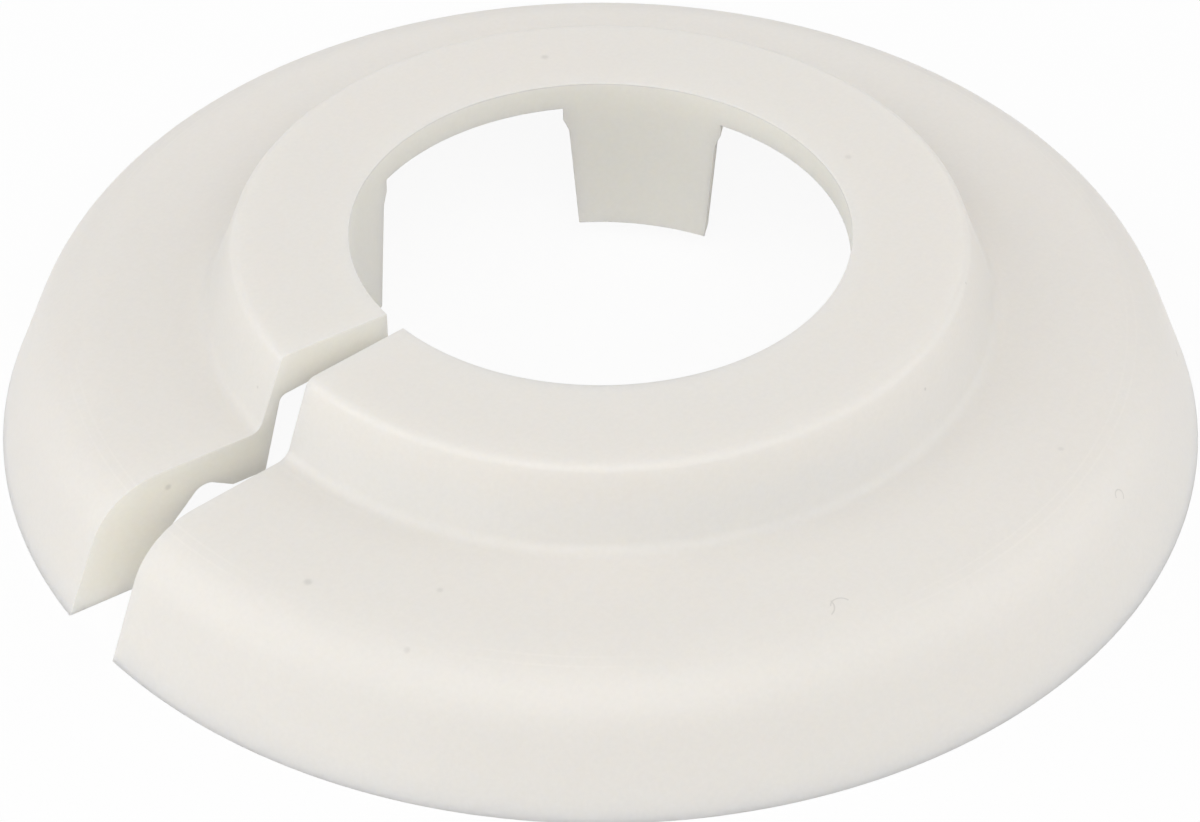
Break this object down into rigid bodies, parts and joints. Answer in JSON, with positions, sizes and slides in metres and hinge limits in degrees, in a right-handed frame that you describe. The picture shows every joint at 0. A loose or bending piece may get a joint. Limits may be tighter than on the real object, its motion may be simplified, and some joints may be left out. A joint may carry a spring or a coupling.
{
  "type": "radiator pipe collar",
  "caption": "Split stepped ring with a sloped rim and hanging grip tabs round its bore; it clips round a radiator pipe and covers the hole where the pipe enters the floor or wall.",
  "frame": {"origin": "pipe axis at the plane of the rim's foot, the face against the floor or wall", "axes": "+Z along the pipe away from the floor, -X through the middle of the split"},
  "size_m": [0.038, 0.038, 0.0064],
  "materials": {
    "moulded_white": "warm white moulded plastic, satin, slightly translucent"
  },
  "bodies": {
    "root": {"pipe_collar": "moulded_white"}
  },
  "joints": []
}
